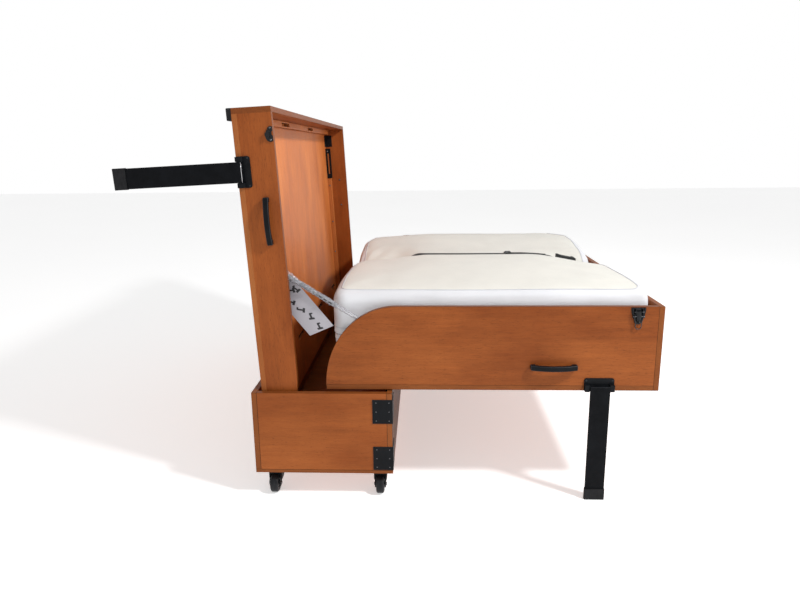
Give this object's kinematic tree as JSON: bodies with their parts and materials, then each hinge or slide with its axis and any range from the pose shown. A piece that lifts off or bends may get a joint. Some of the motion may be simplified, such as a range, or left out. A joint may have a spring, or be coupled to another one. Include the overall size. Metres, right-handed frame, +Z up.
{
  "type": "murphy wall bed",
  "caption": "Folding cabinet bed: two hinged plywood shells on a wheeled trunk base, folded foam mattress, fold-out strap legs, draw latches and a gas strut.",
  "frame": {"origin": "on the floor, in the middle of the open bed's footprint", "axes": "+X from the upright shell towards the lowered shell, +Y across the bed away from the near side, +Z up"},
  "size_m": [1.649, 1.6256, 1.2392],
  "materials": {
    "stained_plywood": "satin",
    "light_plywood": "satin",
    "black_steel": "satin",
    "zinc_steel": "satin",
    "black_rubber": "matte",
    "caster_tread": "satin",
    "mattress_knit": "matte",
    "webbing": "matte",
    "black_plastic": "satin",
    "card": "matte",
    "chromed_rod": "polished",
    "strut_paint": "satin"
  },
  "bodies": {
    "base": {"base_floor": "stained_plywood", "base_left_wall": "stained_plywood", "base_right_wall": "stained_plywood", "base_near_end": "stained_plywood", "base_far_end": "stained_plywood", "base_corner_plates": "black_steel", "base_screws": "zinc_steel", "hinge_base_brackets": "black_steel", "hinge_pins": "zinc_steel", "caster_plates": "black_steel"},
    "right_shell": {"right_hinge_leaves": "black_steel", "right_bottom_panel": "stained_plywood", "right_end_board": "stained_plywood", "right_near_side": "stained_plywood", "right_far_side": "stained_plywood", "right_handles": "black_steel", "right_leg_brackets": "black_steel", "right_strut_stud": "zinc_steel", "latch_plates": "black_steel", "mattress": "mattress_knit", "mattress_strap": "webbing", "strap_buckle": "black_plastic"},
    "left_shell": {"left_hinge_leaves": "black_steel", "left_back_panel": "light_plywood", "left_top_board": "stained_plywood", "left_near_side": "stained_plywood", "left_far_side": "stained_plywood", "left_battens": "light_plywood", "left_corner_brackets": "black_steel", "left_bumpers": "black_rubber", "left_screws": "zinc_steel", "left_handles": "black_steel", "left_leg_brackets": "black_steel", "left_strut_stud": "zinc_steel", "latch_keepers": "black_steel", "instruction_card": "card"},
    "caster_near_left": {"caster_fork_near_left": "black_steel"},
    "wheel_near_left": {"caster_wheel_near_left": "caster_tread"},
    "caster_near_right": {"caster_fork_near_right": "black_steel"},
    "wheel_near_right": {"caster_wheel_near_right": "caster_tread"},
    "caster_far_left": {"caster_fork_far_left": "black_steel"},
    "wheel_far_left": {"caster_wheel_far_left": "caster_tread"},
    "caster_far_right": {"caster_fork_far_right": "black_steel"},
    "wheel_far_right": {"caster_wheel_far_right": "caster_tread"},
    "left_leg_near": {"left_leg_near": "black_steel", "left_foot_cap_near": "black_rubber"},
    "left_leg_far": {"left_leg_far": "black_steel", "left_foot_cap_far": "black_rubber"},
    "right_leg_near": {"right_leg_near": "black_steel", "right_foot_cap_near": "black_rubber"},
    "right_leg_far": {"right_leg_far": "black_steel", "right_foot_cap_far": "black_rubber"},
    "latch_lever_near": {"latch_lever_near": "black_steel"},
    "latch_bail_near": {"latch_bail_near": "black_steel"},
    "latch_lever_far": {"latch_lever_far": "black_steel"},
    "latch_bail_far": {"latch_bail_far": "black_steel"},
    "strut_cylinder": {"strut_cylinder": "strut_paint"},
    "strut_rod": {"strut_rod": "chromed_rod"}
  },
  "joints": [
    {"name": "left_shell_hinge", "type": "hinge", "parent": "base", "child": "left_shell", "pos_m": [-0.42254, 0, 0.37], "axis": [0, -1, 0], "range_deg": [-2.6, 87.4]},
    {"name": "right_shell_hinge", "type": "hinge", "parent": "base", "child": "right_shell", "pos_m": [-0.04054, 0, 0.37], "axis": [0, 1, 0], "range_deg": [-90, 0]},
    {"name": "swivel_near_left", "type": "hinge", "parent": "base", "child": "caster_near_left", "pos_m": [-0.40154, -0.752, 0.075], "axis": [0, 0, 1], "continuous": true},
    {"name": "roll_near_left", "type": "hinge", "parent": "caster_near_left", "child": "wheel_near_left", "pos_m": [-0.40154, -0.777, 0.03], "axis": [1, 0, 0], "continuous": true},
    {"name": "swivel_near_right", "type": "hinge", "parent": "base", "child": "caster_near_right", "pos_m": [-0.05154, -0.752, 0.075], "axis": [0, 0, 1], "continuous": true},
    {"name": "roll_near_right", "type": "hinge", "parent": "caster_near_right", "child": "wheel_near_right", "pos_m": [-0.05154, -0.777, 0.03], "axis": [1, 0, 0], "continuous": true},
    {"name": "swivel_far_left", "type": "hinge", "parent": "base", "child": "caster_far_left", "pos_m": [-0.40154, 0.752, 0.075], "axis": [0, 0, 1], "continuous": true},
    {"name": "roll_far_left", "type": "hinge", "parent": "caster_far_left", "child": "wheel_far_left", "pos_m": [-0.40154, 0.727, 0.03], "axis": [1, 0, 0], "continuous": true},
    {"name": "swivel_far_right", "type": "hinge", "parent": "base", "child": "caster_far_right", "pos_m": [-0.05154, 0.752, 0.075], "axis": [0, 0, 1], "continuous": true},
    {"name": "roll_far_right", "type": "hinge", "parent": "caster_far_right", "child": "wheel_far_right", "pos_m": [-0.05154, 0.727, 0.03], "axis": [1, 0, 0], "continuous": true},
    {"name": "left_leg_near_fold", "type": "hinge", "parent": "left_shell", "child": "left_leg_near", "pos_m": [-0.45339, -0.794, 1.0493], "axis": [0.0454, 0, -0.999], "range_deg": [0, 89.3]},
    {"name": "left_leg_far_fold", "type": "hinge", "parent": "left_shell", "child": "left_leg_far", "pos_m": [-0.45339, 0.794, 1.0493], "axis": [-0.0454, 0, 0.999], "range_deg": [0, 89.3]},
    {"name": "right_leg_near_fold", "type": "hinge", "parent": "right_shell", "child": "right_leg_near", "pos_m": [0.63946, -0.794, 0.37], "axis": [1, 0, 0], "range_deg": [0, 89.3]},
    {"name": "right_leg_far_fold", "type": "hinge", "parent": "right_shell", "child": "right_leg_far", "pos_m": [0.63946, 0.794, 0.37], "axis": [-1, 0, 0], "range_deg": [0, 89.3]},
    {"name": "latch_lever_near_throw", "type": "hinge", "parent": "right_shell", "child": "latch_lever_near", "pos_m": [0.74446, -0.7915, 0.622], "axis": [-1, 0, 0], "range_deg": [0, 120]},
    {"name": "latch_bail_near_swing", "type": "hinge", "parent": "latch_lever_near", "child": "latch_bail_near", "pos_m": [0.74446, -0.7915, 0.608], "axis": [-1, 0, 0], "range_deg": [0, 65]},
    {"name": "latch_lever_far_throw", "type": "hinge", "parent": "right_shell", "child": "latch_lever_far", "pos_m": [0.74446, 0.7915, 0.622], "axis": [1, 0, 0], "range_deg": [0, 120]},
    {"name": "latch_bail_far_swing", "type": "hinge", "parent": "latch_lever_far", "child": "latch_bail_far", "pos_m": [0.74446, 0.7915, 0.608], "axis": [1, 0, 0], "range_deg": [0, 65]},
    {"name": "strut_cylinder_pivot", "type": "hinge", "parent": "left_shell", "child": "strut_cylinder", "pos_m": [-0.3562, -0.757, 0.7454], "axis": [0, -1, 0], "range_deg": [-43.7, 0.5]},
    {"name": "strut_rod_slide", "type": "slide", "parent": "strut_cylinder", "child": "strut_rod", "axis": [0.8431, 0, -0.5377], "range_m": [-0.001, 0.1284]}
  ],
  "couplings": [
    {"joint": "strut_cylinder_pivot", "follows": "right_shell_hinge", "ratio": 0.47996},
    {"joint": "strut_rod_slide", "follows": "right_shell_hinge", "m_per_rad": -0.081118}
  ]
}
